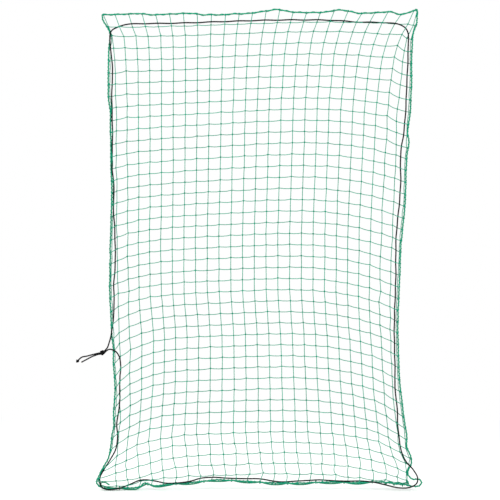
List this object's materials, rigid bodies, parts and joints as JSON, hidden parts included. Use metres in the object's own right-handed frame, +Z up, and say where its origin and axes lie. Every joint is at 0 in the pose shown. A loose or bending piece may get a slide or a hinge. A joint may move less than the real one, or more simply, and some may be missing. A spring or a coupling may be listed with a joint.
{
  "type": "cargo net",
  "caption": "Square-mesh knotted twine net with a border rope and an elastic draw cord woven in round the edge, hung from its top rope.",
  "frame": {"origin": "middle of the hang line: the top border rope, halfway between the two upper corners", "axes": "+X to the right along the top rope, +Z up the net, -Y towards the viewer (the side on which the elastic cord lies)"},
  "size_m": [1.4587, 0.0387, 2.0225],
  "materials": {
    "net_twine": "twisted polypropylene twine, slight sheen",
    "border_rope": "laid polypropylene rope, slight sheen",
    "elastic_sheath": "braided black sheath",
    "rubber_core": "matte natural rubber strands"
  },
  "bodies": {
    "top_edge": {"top_border_rope": "border_rope", "top_twine_hitches": "net_twine"},
    "upper_net": {"upper_warp_twines": "net_twine", "upper_weft_twines": "net_twine", "upper_left_border": "border_rope", "upper_right_border": "border_rope", "upper_elastic_sheath": "elastic_sheath", "upper_elastic_core": "rubber_core"},
    "middle_net": {"middle_warp_twines": "net_twine", "middle_weft_twines": "net_twine", "middle_left_border": "border_rope", "middle_right_border": "border_rope", "middle_left_elastic_sheath": "elastic_sheath", "middle_left_elastic_core": "rubber_core", "middle_right_elastic_sheath": "elastic_sheath", "middle_right_elastic_core": "rubber_core"},
    "lower_net": {"lower_warp_twines": "net_twine", "lower_weft_twines": "net_twine", "lower_left_border": "border_rope", "lower_right_border": "border_rope", "bottom_border": "border_rope", "lower_left_elastic_sheath": "elastic_sheath", "lower_left_elastic_core": "rubber_core", "lower_elastic_sheath": "elastic_sheath", "lower_elastic_core": "rubber_core", "bottom_slack_rope": "border_rope"},
    "cord_pull": {"elastic_knot": "elastic_sheath"},
    "knotted_tail": {"knotted_tail_sheath": "elastic_sheath", "knotted_tail_core": "rubber_core", "tail_stopper_knot": "elastic_sheath"},
    "bare_tail": {"bare_tail_sheath": "elastic_sheath", "bare_tail_core": "rubber_core"}
  },
  "joints": [
    {"name": "net_swing", "type": "hinge", "parent": "top_edge", "child": "upper_net", "pos_m": [0, 0.0014, -0.014], "axis": [1, 0, 0], "range_deg": [-85, 85]},
    {"name": "upper_fold", "type": "hinge", "parent": "upper_net", "child": "middle_net", "pos_m": [0, 0.0016, -0.626], "axis": [1, 0, 0], "range_deg": [-100, 100]},
    {"name": "lower_fold", "type": "hinge", "parent": "middle_net", "child": "lower_net", "pos_m": [0, 0.0016, -1.236], "axis": [1, 0, 0], "range_deg": [-100, 100]},
    {"name": "cord_stretch", "type": "slide", "parent": "lower_net", "child": "cord_pull", "axis": [-1, 0, 0], "range_m": [0, 0.15], "stiffness_N_per_m": 46},
    {"name": "knotted_tail_bend", "type": "hinge", "parent": "cord_pull", "child": "knotted_tail", "pos_m": [-0.679, 0.002, -1.428], "axis": [0, 1, 0], "range_deg": [0, 60], "stiffness_Nm_per_rad": 0.1},
    {"name": "bare_tail_bend", "type": "hinge", "parent": "cord_pull", "child": "bare_tail", "pos_m": [-0.679, 0.002, -1.435], "axis": [0, 1, 0], "range_deg": [-60, 0], "stiffness_Nm_per_rad": 0.1}
  ]
}
